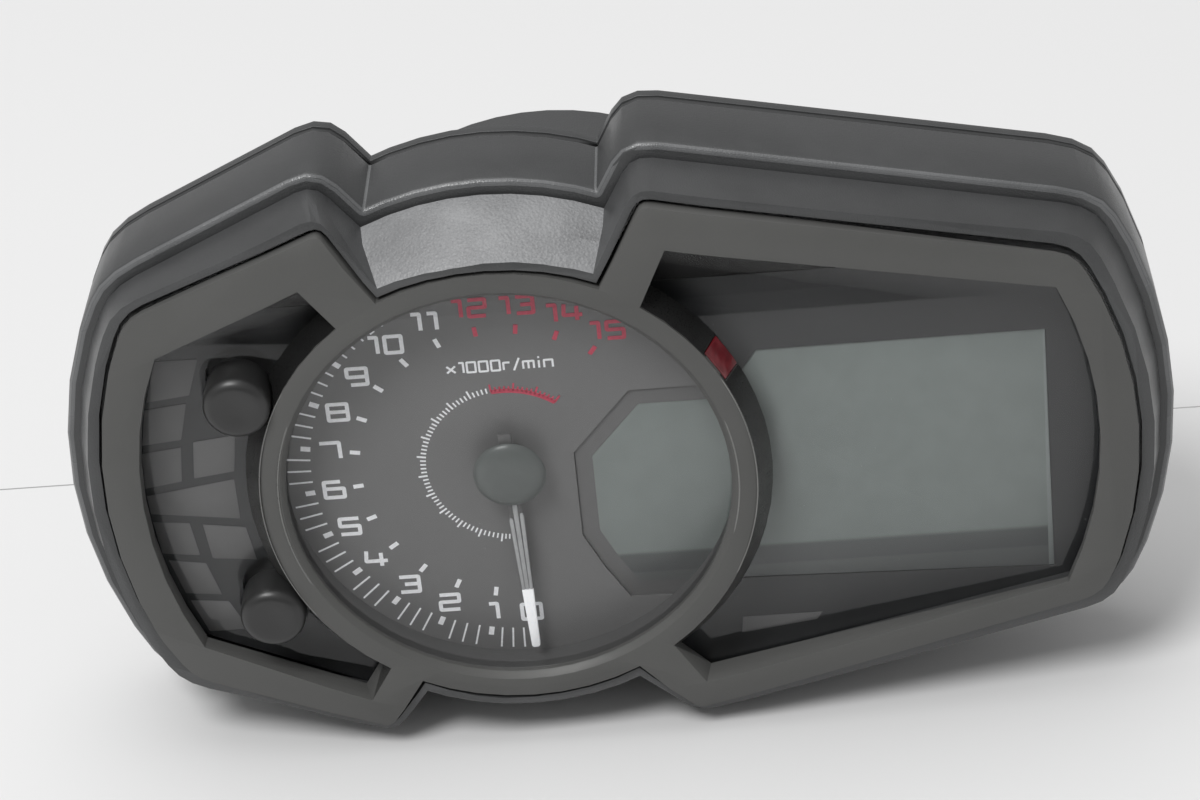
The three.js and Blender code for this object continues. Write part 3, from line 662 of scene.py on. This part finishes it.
def figure(text, centre, wide, high, width, spacing, oneWide):
    sizes = [oneWide if letter == "1" else wide for letter in text]
    sizes = [size * letterWidths.get(letter, 1) for size, letter in zip(sizes, text)]
    x = centre[0] - (sum(sizes) + spacing * (len(text) - 1)) / 2
    pieces = []
    for size, letter in zip(sizes, text):
        for number, path in enumerate(glyphs[letter]):
            placed = [(x + u * size, centre[1] + (v - 0.5) * high) for u, v in path]
            pieces.append(stroke("stroke", softened(placed, width * 0.3), width, 0.015 * number))
        x += size + spacing
    return pieces


def dialAngle(k):
    # Clockwise from straight down; the first step of the scale is shorter.
    return dialLook["zero"] if k == 0 else dialLook["markFrom"] + dialLook["markStep"] * (k - 1)


def dialPoint(radius, angle):
    turn = math.radians(angle)
    return Vector((-radius * math.sin(turn), -radius * math.cos(turn)))


def radialMark(angle, kind):
    inner, outer, width = markLook[kind]
    return stroke("mark", [dialPoint(inner, angle), dialPoint(outer, angle)], width)


def fractionAngle(k, part):
    return dialAngle(k) + (dialAngle(k + 1) - dialAngle(k)) * part


def makeDialPrint():
    white, red = [], []
    for k in range(dialLook["last"] + 1):
        group = red if k >= dialLook["redFrom"] else white
        text = str(k)
        wide = dialLook["digitWide"] if len(text) == 1 else dialLook["pairWide"]
        shift = dialLook["labelShift"]
        ring = dialLook["labelRing"] + (shift if len(text) > 1 else -shift)
        group += figure(text, dialPoint(ring, dialAngle(k)), wide, dialLook["digitHigh"],
                        dialLook["stroke"], dialLook["spacing"], dialLook["oneWide"])
        group.append(radialMark(dialAngle(k), "label"))
        if k < dialLook["redFrom"]:
            group.append(radialMark(dialAngle(k), "zero" if k == 0 else "whole"))
            if k < dialLook["redFrom"] - 1:
                for part in (0.25, 0.5, 0.75):
                    group.append(radialMark(fractionAngle(k, part), "quarter"))
    for k in range(dialLook["last"]):
        group = red if k >= dialLook["redFrom"] else white
        group.append(radialMark(dialAngle(k), "innerWhole"))
        for part in (0.2, 0.4, 0.6, 0.8):
            group.append(radialMark(fractionAngle(k, part), "innerFifth"))
    red.append(radialMark(dialAngle(dialLook["last"]), "innerWhole"))
    start, end, steps = dialAngle(dialLook["redFrom"]), dialAngle(dialLook["last"]), dialLook["arcSteps"]
    sweep = [dialPoint(dialLook["arcRadius"], start + (end - start) * i / steps) for i in range(steps + 1)]
    red.append(stroke("arc", sweep, dialLook["arcWidth"]))
    white += figure(**unitLook)
    return white, red


def inkMaterial(name, colour, light, glow=0.0):
    paint = Paint(name)
    mottle = paint.noise(1500, 3)
    tone = paint.mix(paint.between(mottle, 0.3, 0.7), colour, light)
    # The emission is a painted glow that makes the ink brighter than its own colour.
    return paint.done(paint.shade(Base_Color=tone, Roughness=0.5, Emission_Color=tone,
                                  Emission_Strength=glow, Normal=paint.bump(mottle, 0.00001)))


def filmMaterial(name, level, tint=(1, 1, 1)):
    paint = Paint(name)
    grain = paint.noise(4200, 4, 0.65)
    cloud = paint.noise(25, 3)
    colour = paint.mix(paint.between(grain * 0.6 + cloud * 0.4, 0.35, 0.65), grey(level * 0.95, tint),
                       grey(level * 1.05, tint))
    return paint.done(paint.shade(Base_Color=colour, Roughness=paint.between(cloud, 0.3, 0.7, 0.42, 0.5),
                                  Normal=paint.bump(grain, 0.000002)))


whiteInk = inkMaterial("whiteInk", (0.80, 0.81, 0.83, 1), (0.88, 0.89, 0.91, 1), 0.09)
redInk = inkMaterial("redInk", (0.50, 0.03, 0.075, 1), (0.58, 0.045, 0.095, 1), 0.03)
tipWhite = inkMaterial("tipWhite", (0.84, 0.85, 0.87, 1), (0.92, 0.93, 0.94, 1), 0.24)
dialFilm = filmMaterial("dialFilm", dialLook["level"])
whiteParts, redParts = makeDialPrint()
for name, parts, ink in (("dial_print_white", whiteParts, whiteInk), ("dial_print_red", redParts, redInk)):
    finished(intoRow(joinPieces(name, parts)), ink, "case")
paintNode("dial_plate", dialFilm)
print("dial printed")

# Display and panels.
displayLook = {
    "lit": (0.185, 0.212, 0.203, 1), "shade": (0.075, 0.082, 0.082, 1), "strip": (0.10, 0.108, 0.107, 1),
    "rim": (0.22, 0.245, 0.24, 1), "fog": 0.93, "litLow": -23.0, "litBlur": 0.6, "stripLow": -27.5,
    "stripBlur": 0.2, "right": 102.9, "front": 0.25, "thick": 0.7, "shrink": (0.998, 1, 0.996), "moat": 3.3,
    "moatBehind": 0.2, "moatThick": 0.35, "fieldFront": -0.05, "wallInner": 44.02, "wallOuter": 44.22,
    "wallFront": -6.0, "wallBack": 0.6,
    "line": [(15.8, -17.0), (15.8, 0.2), (25.6, 11.2), (41.5, 11.2), (48.8, 21.5), (103.4, 21.6),
             (104.0, -32.2), (22.6, -29.6), (19.2, -24.0)],
}


def displayMaterial():
    paint = Paint("liquidCrystal")
    x = (paint.axis(0) - dialCentre.x) * 1000
    z = (paint.axis(2) - dialCentre.z) * 1000
    fog = paint.noise(180, 3)
    fogged = tuple(displayLook["fog"] * c for c in displayLook["lit"][:3]) + (1,)
    lit = paint.mix(paint.between(fog, 0.3, 0.7), fogged, displayLook["lit"])
    # Painted shadow on the display: below litLow it takes the darker shade colour, and below stripLow the
    # slightly lighter strip colour.
    low, blur = displayLook["stripLow"], displayLook["stripBlur"]
    colour = paint.mix(paint.between(z, low - blur, low + blur), displayLook["strip"], displayLook["shade"])
    low, blur = displayLook["litLow"], displayLook["litBlur"]
    colour = paint.mix(paint.between(z, low - blur, low + blur), colour, lit)
    colour = paint.mix(x > displayLook["right"], colour, displayLook["rim"])
    return paint.done(paint.shade(Base_Color=colour, Roughness=0.3,
                                  Normal=paint.bump(paint.noise(900, 2), 0.000006)))


panelFilm = filmMaterial("panelFilm", 0.022, (0.95, 1.0, 1.06))
frameBlack = filmMaterial("frameBlack", 0.08, (0.97, 1, 1.0))
paintNode("display_glass", displayMaterial())
screenFront = displayLook["front"]
screen = slab("display_screen", displayLook["line"], screenFront, screenFront + displayLook["thick"])
inEditMode(screen, selectAll, lambda: bpy.ops.transform.resize(
    value=displayLook["shrink"], center_override=(60, screenFront, -5)))
rounded(screen, 0.08, 2)
finished(intoRow(screen), frame["nodes"]["display_glass"].data.materials[0], "case")
paintNode("display_frame", frameBlack)
paintNode("display_mask", panelFilm)
paintNode("indicator_panel", panelFilm)

lampTiles = [
    [(-65.1, 28.2), (-56.8, 28.2), (-59.6, 20.3), (-67.9, 19.4)],
    [(-68.6, 17.7), (-60.4, 18.6), (-62.6, 10.5), (-70.3, 9.8)],
    [(-70.7, 7.9), (-62.9, 8.9), (-63.9, 1.1), (-71.2, 0.0)],
    [(-60.4, 9.8), (-52.1, 10.7), (-53.4, 2.6), (-61.4, 1.6)],
    [(-71.2, -1.7), (-53.7, 0.8), (-53.8, -8.3), (-71.0, -5.9)],
    [(-70.9, -7.8), (-63.8, -8.6), (-62.9, -16.2), (-70.2, -15.2)],
    [(-61.3, -9.1), (-53.0, -10.4), (-51.9, -18.1), (-60.5, -17.1)],
    [(-69.2, -16.9), (-62.0, -18.2), (-59.9, -25.8), (-67.0, -24.9)],
    [(-66.3, -26.7), (-58.8, -27.5), (-55.8, -34.4), (-63.6, -34.4)],
]


def printedField(name, points):
    return slab(name, points, displayLook["fieldFront"] - dialLook["thick"], displayLook["fieldFront"])


tileFilm = filmMaterial("tileFilm", 0.12)
tiles = [rounded(printedField("tile", corners), 0.04, 2) for corners in lampTiles]
finished(intoRow(joinPieces("lamp_fields", tiles)), tileFilm, "case")
sensorField = [(42.3, -39.5), (58.0, -39.5), (56.9, -41.1), (41.9, -43.2)]
finished(intoRow(printedField("sensor_field", sensorField)), tileFilm, "case")
# Near-black strips behind the lens at the top of the windows, put there as painted shade.
paintedShadeStripLook = {
    "foot": 37.8, "depth": 0.15, "lean": 0.273, "thick": 0.5,
    "right": [(23, 37.8), (111, 37.8), (109.5, 40.8), (33, 52.5), (28.5, 52.5)],
    "left": [(-60, 37.8), (-25, 37.8), (-29, 45), (-36, 48.5)],
}
paintedShadeFilm = filmMaterial("paintedShadeFilm", 0.006)


def makeBaffle(side):
    # A very dark strip that leans with the lens above the printed panels: painted shade over the top of each
    # window.
    strip = outline("painted_shade_strip_" + side, paintedShadeStripLook[side], 0)
    for vertex in strip.data.vertices:
        vertex.co.y = paintedShadeStripLook["depth"] + (vertex.co.z - paintedShadeStripLook["foot"]) * paintedShadeStripLook["lean"]
    inEditMode(strip, selectAll, lambda: bpy.ops.mesh.extrude_region_move(
        TRANSFORM_OT_translate={"value": (0, paintedShadeStripLook["thick"], 0)}),
        selectAll, lambda: bpy.ops.mesh.normals_make_consistent(inside=False))
    rounded(strip, 0.1, 1)
    return finished(intoRow(strip), paintedShadeFilm, "case")


def spread(points, reach):
    # The outline moved outwards by reach, with mitred corners.
    corners = [Vector(at) for at in points]
    count = len(corners)
    area = sum(corners[i].x * corners[(i + 1) % count].y - corners[(i + 1) % count].x * corners[i].y
               for i in range(count))
    outward = 1 if area > 0 else -1
    result = []
    for i, here in enumerate(corners):
        first = (here - corners[i - 1]).normalized()
        second = (corners[(i + 1) % count] - here).normalized()
        side = Vector((first.y + second.y, -first.x - second.x)).normalized() * outward
        square = Vector((first.y, -first.x)) * outward
        result.append(here + side * reach / side.dot(square))
    return result


def makeSurround():
    # Shallow step round the display.
    front = displayLook["front"] + displayLook["moatBehind"]
    edge = spread(displayLook["line"], displayLook["moat"])
    step = slab("display_surround", edge, front, front + displayLook["moatThick"])
    rounded(step, 0.08, 2)
    return finished(intoRow(step), surroundFilm, "case")


def makeDialWall():
    # The wall that runs forward from the dial's edge inside the round lens.
    inner, outer = displayLook["wallInner"], displayLook["wallOuter"]
    front, back = displayLook["wallFront"], displayLook["wallBack"]
    wall = lathe("dial_wall", [(inner, back), (outer, back), (outer, front + 0.1), (44.12, front),
                               (inner, front + 0.1)], (0, 0), 180)
    smooth(wall, 40)
    return finished(intoRow(wall), wallFilm, "case")


surroundFilm = filmMaterial("surroundFilm", 0.115)
wallFilm = filmMaterial("wallFilm", 0.075)
makeBaffle("right")
makeBaffle("left")
makeSurround()
makeDialWall()
print("display and lamp fields made")

# Buttons.
buttonLook = {
    "segments": 96, "skirtBack": -3.7, "floor": -3.6, "stem": 3.0, "stemBack": 5.4,
}


def makeButton(name):
    low, high = workBox(name + "_button")
    centre = ((low.x + high.x) / 2, (low.z + high.z) / 2)
    radius = (high.x - low.x) / 2
    front = low.y
    profile = [
        (0, front + 0.55), (1.5, front + 0.42), (2.8, front + 0.16), (3.7, front + 0.02), (4.3, front),
        (4.9, front + 0.1), (5.5, front + 0.42), (radius - 0.35, front + 0.9), (radius - 0.08, front + 1.5),
        (radius, front + 2.4), (radius, buttonLook["skirtBack"]), (radius - 0.3, buttonLook["floor"]),
        (buttonLook["stem"], buttonLook["floor"]), (buttonLook["stem"], buttonLook["stemBack"]),
        (0, buttonLook["stemBack"]),
    ]
    piece = lathe(name + "_button_cap", profile, centre, buttonLook["segments"])
    smooth(piece, 40)
    return finished(intoRow(piece), buttonPlastic, name + "_key", [name + "_button"])


buttonPlastic = mouldedPlastic("buttonPlastic", {
    "dark": 0.022, "light": 0.027, "tint": (1, 1, 1), "edge": 0.08, "wear": 0.3, "roughness": 0.34,
    "grainScale": 5000, "grainDepth": 0.000008, "cloudScale": 90,
})
rubberBlack = mouldedPlastic("rubberBlack", {
    "dark": 0.012, "light": 0.018, "tint": (1, 1, 1), "edge": 0.03, "wear": 0.2, "roughness": 0.7,
    "grainScale": 3800, "grainDepth": 0.00002, "cloudScale": 80,
})
for name in ("upper", "lower"):
    makeButton(name)
    paintNode(name + "_button_boot", rubberBlack)
print("buttons made")

# Pointer.
pointerLook = {
    "front": -3.65, "back": -2.55, "rootTop": -6.9, "whiteFrom": -27.2, "tip": -40.9, "rootHalf": 1.25,
    "whiteHalf": 1.12, "tipHalf": 0.82, "lead": 1.6,
}


def makePointer():
    front, back = pointerLook["front"], pointerLook["back"]
    root, start, tip = pointerLook["rootTop"], pointerLook["whiteFrom"], pointerLook["tip"]
    half, outer = pointerLook["rootHalf"], pointerLook["whiteHalf"]
    white = slab("pointer_tip", [(-outer, start), (outer, start), (pointerLook["tipHalf"], tip + 0.35),
                                 (pointerLook["tipHalf"] - 0.3, tip), (0.3 - pointerLook["tipHalf"], tip),
                                 (-pointerLook["tipHalf"], tip + 0.35)], front - 0.1, back)
    rounded(white, 0.12)
    lead = Matrix.Rotation(math.radians(-pointerLook["lead"]), 4, "Y")
    white.data.transform(lead)
    finished(intoRow(white), tipWhite, "pointer", ["pointer_needle"])
    ribs = []
    for x, width, top in ((-1.1, 0.8, root - 3.5), (-0.05, 0.95, root), (1.05, 0.8, root - 2.5)):
        rib = slab("rib", [(x - width * 0.3, top), (x + width * 0.3, top), (x + width / 2, top - 0.6),
                           (x * 0.7 + width * 0.42, start), (x * 0.7 - width * 0.42, start),
                           (x - width / 2, top - 0.6)], front, back)
        ribs.append(rounded(rib, 0.16))
    glow = joinPieces("pointer_ribs", ribs)
    glow.data.transform(lead)
    finished(intoRow(glow), ribPlastic, "pointer")
    stem = slab("pointer_stem", [(-half, 8.6), (half, 8.6), (half * 1.1, 0), (half, start), (-half, start),
                                 (-half * 1.1, 0)], front + 0.35, back)
    rounded(stem, 0.12)
    stem.data.transform(lead)
    finished(intoRow(stem), stemPlastic, "pointer")
    hub = lathe("pointer_hub", [
        (1.1, front + 0.2), (4.4, front + 0.2), (4.6, front + 0.4), (4.6, back + 1.5), (4.4, back + 1.7),
        (1.1, back + 1.7)], (0, 0), 64)
    smooth(hub)
    finished(intoRow(hub), stemPlastic, "pointer")


def clouded(name, colour, roughness, opacity):
    # Smoky see-through moulding.
    paint = Paint(name)
    cloud = paint.noise(600, 3)
    body = paint.shade(Base_Color=colour, Roughness=roughness, Normal=paint.bump(cloud, 0.00001))
    clear = paint.node("ShaderNodeBsdfTransparent", {}, {"Color": grey(0.9)})
    share = paint.between(cloud, 0.2, 0.8, opacity - 0.05, opacity + 0.05)
    return paint.done(paint.node("ShaderNodeMixShader", {}, {0: share, 1: clear, 2: body}))


ribPlastic = clouded("ribPlastic", (0.62, 0.63, 0.64, 1), 0.25, 0.62)
stemPlastic = filmMaterial("stemPlastic", 0.10)
capPlastic = clouded("capPlastic", (0.13, 0.145, 0.14, 1), 0.3, 0.75)
makePointer()
cap = lathe("pointer_hub_cap", [
    (0, -5.9), (2.5, -5.84), (4.4, -5.6), (5.8, -5.15), (6.6, -4.6), (6.95, -4.2), (7.0, -4.05), (6.9, -4.0),
    (0, -4.0)], (0, 0), 96)
smooth(cap, 40)
finished(intoRow(cap), capPlastic, "pointer", ["pointer_cap"])
print("pointer made")


# Shift lamp.
def lampMaterial():
    paint = Paint("lampRed")
    cloud = paint.noise(500, 3)
    flutes = paint.node("ShaderNodeTexWave", {"wave_type": "BANDS"},
                        {"Vector": paint.place(), "Scale": 260, "Distortion": 0.6})
    tone = paint.mix(paint.between(cloud, 0.3, 0.7), (0.10, 0.006, 0.010, 1), (0.16, 0.012, 0.018, 1))
    return paint.done(paint.shade(Base_Color=tone, Roughness=0.25, Coat_Weight=0.3,
                                  Normal=paint.bump(flutes * 0.6 + cloud * 0.2, 0.00005)))


finished(refined("shift_lamp", 0.12), lampMaterial(), "case", ["shift_lamp"])

# Inside parts.
whitePlastic = mouldedPlastic("whitePlastic", {
    "dark": 0.62, "light": 0.70, "tint": (1, 1, 0.98), "edge": 0.75, "wear": 0.3, "roughness": 0.42,
    "grainScale": 4000, "grainDepth": 0.00001, "cloudScale": 90,
})
blackPlastic = mouldedPlastic("blackPlastic", {
    "dark": 0.014, "light": 0.020, "tint": (0.98, 1, 1.02), "edge": 0.05, "wear": 0.4, "roughness": 0.42,
    "grainScale": 3600, "grainDepth": 0.00002, "cloudScale": 90,
})
steel = metal("steel", (0.52, 0.53, 0.54, 1), 0.26)
brass = metal("brass", (0.62, 0.44, 0.20, 1), 0.25)


def boardMaterial():
    paint = Paint("circuitBoard")
    tracks = paint.node("ShaderNodeTexBrick", {}, {
        "Vector": paint.place(), "Scale": 420, "Mortar Size": 0.05, "Brick Width": 0.9, "Row Height": 0.3},
        out=1)
    cloud = paint.noise(300, 3)
    tone = paint.mix(tracks, (0.012, 0.075, 0.035, 1), (0.03, 0.14, 0.07, 1))
    tone = paint.mix(paint.between(cloud, 0.55, 0.75) * 0.4, tone, (0.01, 0.05, 0.025, 1))
    return paint.done(paint.shade(Base_Color=tone, Roughness=0.3, Coat_Weight=0.2,
                                  Normal=paint.bump(tracks * 1.0 + cloud * 0.2, 0.00003)))


paintNode("circuit_board", boardMaterial())
for name in ("backlight_plate", "indicator_light_box"):
    paintNode(name, whitePlastic)
for number in range(1, len(lampTiles) + 1):
    paintNode("indicator_led_" + str(number), whitePlastic)
for name in ("main_chip", "stepping_motor", "upper_switch", "lower_switch"):
    paintNode(name, blackPlastic)
paintNode("pointer_shaft", steel)
for number in range(1, 5):
    paintNode("board_screw_" + str(number), steel)
print("inside parts painted")

# Fixings and connector.
screwLook = {
    "head": 2.85, "headHigh": 1.9, "rim": 1.15, "shank": 1.35, "slotLong": 3.1, "slotWide": 0.62,
    "slotDeep": 1.1, "segments": 48,
}


def crossCutter(back):
    long, wide = screwLook["slotLong"] / 2, screwLook["slotWide"] / 2
    deep = back - screwLook["slotDeep"]
    cross = [(-long, -wide), (-wide, -wide), (-wide, -long), (wide, -long), (wide, -wide), (long, -wide),
             (long, wide), (wide, wide), (wide, long), (-wide, long), (-wide, wide), (-long, wide)]
    return slab("cross", cross, deep, back + 1)


def makeScrews():
    low, high = workBox("case_screw_1")
    back, tip = high.y, low.y
    head = back - screwLook["headHigh"]
    top, rim = back - 0.04, head + screwLook["rim"]
    radius = screwLook["head"]
    screw = lathe("case_screw_model", [
        (0, tip + 0.1), (0.7, tip + 0.1), (screwLook["shank"], tip + 1.2), (screwLook["shank"], head + 0.02),
        (radius, head + 0.02), (radius, rim), (radius - 0.12, rim + 0.22), (radius - 0.5, top - 0.16),
        (radius - 0.95, top), (0, top)], (0, 0), screwLook["segments"])
    cutter = crossCutter(top)
    applyModifier(screw, "BOOLEAN", object=cutter, operation="DIFFERENCE", solver="EXACT")
    bpy.data.objects.remove(cutter)
    rounded(screw, 0.06, 2, 40)
    for number in range(1, 9):
        name = "case_screw_" + str(number)
        low, high = workBox(name)
        one = screw.copy()
        one.data = screw.data.copy()
        one.name = name + "_cross"
        bpy.context.scene.collection.objects.link(one)
        turn = Matrix.Rotation(math.radians(37 * number), 4, "Y")
        one.data.transform(Matrix.Translation(((low.x + high.x) / 2, 0, (low.z + high.z) / 2)) @ turn)
        finished(intoRow(one), steel, "case", [name])
    bpy.data.objects.remove(screw)


def makeMount(number):
    low, high = workBox("mount_sleeve_" + str(number))
    centre = ((low.x + high.x) / 2, (low.z + high.z) / 2)
    front, back = low.y, high.y
    sleeve = lathe("mount_sleeve_turned_" + str(number), [
        (3.35, front), (3.75, front), (3.9, front + 0.2), (3.9, back - 1.2), (7.8, back - 1.2),
        (8, back - 1.0), (8, back - 0.2), (7.8, back), (3.35, back), (3.1, back - 0.25),
        (3.1, front + 0.25)], centre, 96)
    smooth(sleeve, 30)
    finished(intoRow(sleeve), steel, "case", ["mount_sleeve_" + str(number)])
    low, high = workBox("mount_grommet_" + str(number))
    seat = high.y - 1.9
    grommet = lathe("mount_grommet_moulded_" + str(number), [
        (4.2, low.y), (5.6, low.y), (5.9, low.y + 0.3), (5.9, seat), (8.6, seat), (9.0, seat + 0.4),
        (9.0, high.y - 0.5), (8.85, high.y - 0.15), (8.5, high.y), (4.2, high.y)], centre, 96)
    smooth(grommet, 30)
    return grommet


def makeBreather():
    low, high = workBox("breather_cap")
    centre = ((low.x + high.x) / 2, (low.z + high.z) / 2)
    front, back = low.y, high.y
    cap = lathe("breather_cap_moulded", [
        (0, front), (2.5, front), (2.8, front + 0.3), (2.8, back - 2.6), (4.0, back - 2.6),
        (4.2, back - 2.4), (4.2, back - 1.0), (4.0, back - 0.6), (3.3, back - 0.1), (2.9, back),
        (1.4, back), (1.2, back - 0.5), (0, back - 0.5)], centre, 72)
    smooth(cap, 30)
    return cap


makeScrews()
for number in range(1, 4):
    finished(intoRow(makeMount(number)), rubberBlack, "case", ["mount_grommet_" + str(number)])
finished(intoRow(makeBreather()), rubberBlack, "case", ["breather_cap"])
finished(refined("connector_shell", 0.35), blackPlastic, "case", ["connector_shell"])
finished(refined("connector_pins", 0.08), brass, "case", ["connector_pins"])
print("fixings and connector made")
